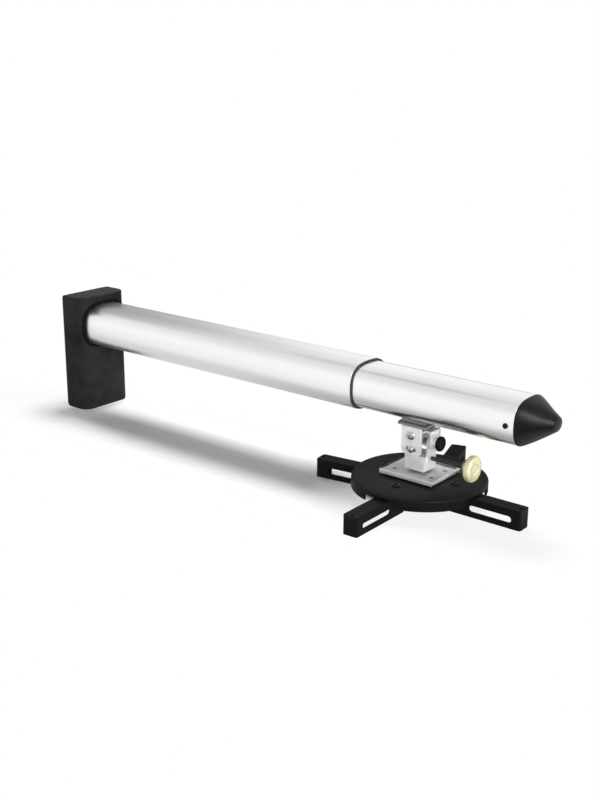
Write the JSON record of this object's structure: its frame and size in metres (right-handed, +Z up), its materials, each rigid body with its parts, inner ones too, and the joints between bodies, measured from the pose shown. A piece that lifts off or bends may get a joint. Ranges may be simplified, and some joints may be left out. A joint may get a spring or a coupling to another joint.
{
  "type": "projector wall mount",
  "caption": "Wall-mounted telescopic oval arm with a black cover, a tilting, rolling and swivelling steel head and a black round hub with swinging slotted arms.",
  "frame": {"origin": "on the arm's axis at the wall plate's back face, which lies on the wall", "axes": "+X out from the wall along the arm, +Y level and to the side, +Z up"},
  "size_m": [0.9097, 0.3315, 0.2019],
  "materials": {
    "anodised": "satin silver anodised extrusion",
    "zinc": "bright zinc-plated pressed steel",
    "dark_steel": "blackened steel",
    "black_plastic": "black moulded plastic, fine grain",
    "black_paint": "satin black powder coat",
    "cast_metal": "plain casting",
    "brass": "pale polished, fluted rim",
    "nylon": "natural moulded"
  },
  "bodies": {
    "wall_side": {"wall_plate": "black_paint", "tube_socket": "cast_metal", "socket_screw_1": "dark_steel", "socket_screw_2": "dark_steel", "socket_screw_3": "dark_steel", "socket_screw_4": "dark_steel", "outer_tube": "anodised", "tube_screw_top": "dark_steel", "tube_screw_bottom": "dark_steel", "wall_cover": "black_plastic", "cover_screw_left": "dark_steel", "cover_screw_right": "dark_steel", "mouth_ring": "black_plastic", "lock_screw_front": "dark_steel", "lock_screw_rear": "dark_steel"},
    "extension": {"inner_tube": "anodised", "rear_glide": "nylon", "nose_cap": "black_plastic", "cap_screw_near": "dark_steel", "cap_screw_far": "dark_steel", "saddle": "zinc", "upper_bracket": "zinc", "nut_bar": "zinc", "bracket_bolt_front": "zinc", "bracket_bolt_rear": "zinc"},
    "tilting_yoke": {"tilt_yoke": "zinc", "pitch_bolt": "zinc", "pitch_nut": "zinc", "arc_screw_near": "zinc", "arc_screw_far": "zinc"},
    "rolling_block": {"roll_block": "zinc", "roll_bolt": "zinc"},
    "roll_lock": {"roll_knob": "black_plastic"},
    "swivel_lock": {"thumb_screw": "brass"},
    "swivel_hub": {"thrust_washer": "nylon", "spindle": "zinc", "spindle_nut": "zinc", "carrier_plate": "zinc", "adapter_plate": "dark_steel", "adapter_screw_1": "dark_steel", "adapter_screw_2": "dark_steel", "adapter_screw_3": "dark_steel", "adapter_screw_4": "dark_steel", "hub_disc": "black_plastic", "arm_bolt_right": "dark_steel", "arm_bolt_front": "dark_steel", "arm_bolt_left": "dark_steel", "arm_bolt_back": "dark_steel", "arm_nut_right": "zinc", "arm_nut_front": "zinc", "arm_nut_left": "zinc", "arm_nut_back": "zinc"},
    "swing_arm_right": {"arm_right": "black_paint"},
    "swing_arm_front": {"arm_front": "black_paint"},
    "swing_arm_left": {"arm_left": "black_paint"},
    "swing_arm_back": {"arm_back": "black_paint"}
  },
  "joints": [
    {"name": "arm_extension", "type": "slide", "parent": "wall_side", "child": "extension", "axis": [1, 0, 0], "range_m": [-0.055, 0.15]},
    {"name": "pitch", "type": "hinge", "parent": "extension", "child": "tilting_yoke", "pos_m": [0.6963, 0, -0.0515], "axis": [0, 1, 0], "range_deg": [-15, 15]},
    {"name": "roll", "type": "hinge", "parent": "tilting_yoke", "child": "rolling_block", "pos_m": [0.6963, 0, -0.063], "axis": [1, 0, 0], "range_deg": [-10, 10]},
    {"name": "roll_knob_turn", "type": "hinge", "parent": "rolling_block", "child": "roll_lock", "pos_m": [0.725, 0, -0.063], "axis": [1, 0, 0], "continuous": true},
    {"name": "swivel", "type": "hinge", "parent": "rolling_block", "child": "swivel_hub", "pos_m": [0.6963, 0, -0.1061], "axis": [0, 0, 1], "continuous": true},
    {"name": "thumb_screw_turn", "type": "hinge", "parent": "rolling_block", "child": "swivel_lock", "pos_m": [0.7463, 0, -0.087], "axis": [1, 0, 0], "continuous": true},
    {"name": "arm_right_swing", "type": "hinge", "parent": "swivel_hub", "child": "swing_arm_right", "pos_m": [0.7543, 0, -0.12905], "axis": [0, 0, 1], "range_deg": [-22, 22]},
    {"name": "arm_front_swing", "type": "hinge", "parent": "swivel_hub", "child": "swing_arm_front", "pos_m": [0.6963, -0.058, -0.12905], "axis": [0, 0, 1], "range_deg": [-23, 21]},
    {"name": "arm_left_swing", "type": "hinge", "parent": "swivel_hub", "child": "swing_arm_left", "pos_m": [0.6383, 0, -0.12905], "axis": [0, 0, 1], "range_deg": [-29.5, 14.5]},
    {"name": "arm_back_swing", "type": "hinge", "parent": "swivel_hub", "child": "swing_arm_back", "pos_m": [0.6963, 0.058, -0.12905], "axis": [0, 0, 1], "range_deg": [-40, 4]}
  ]
}
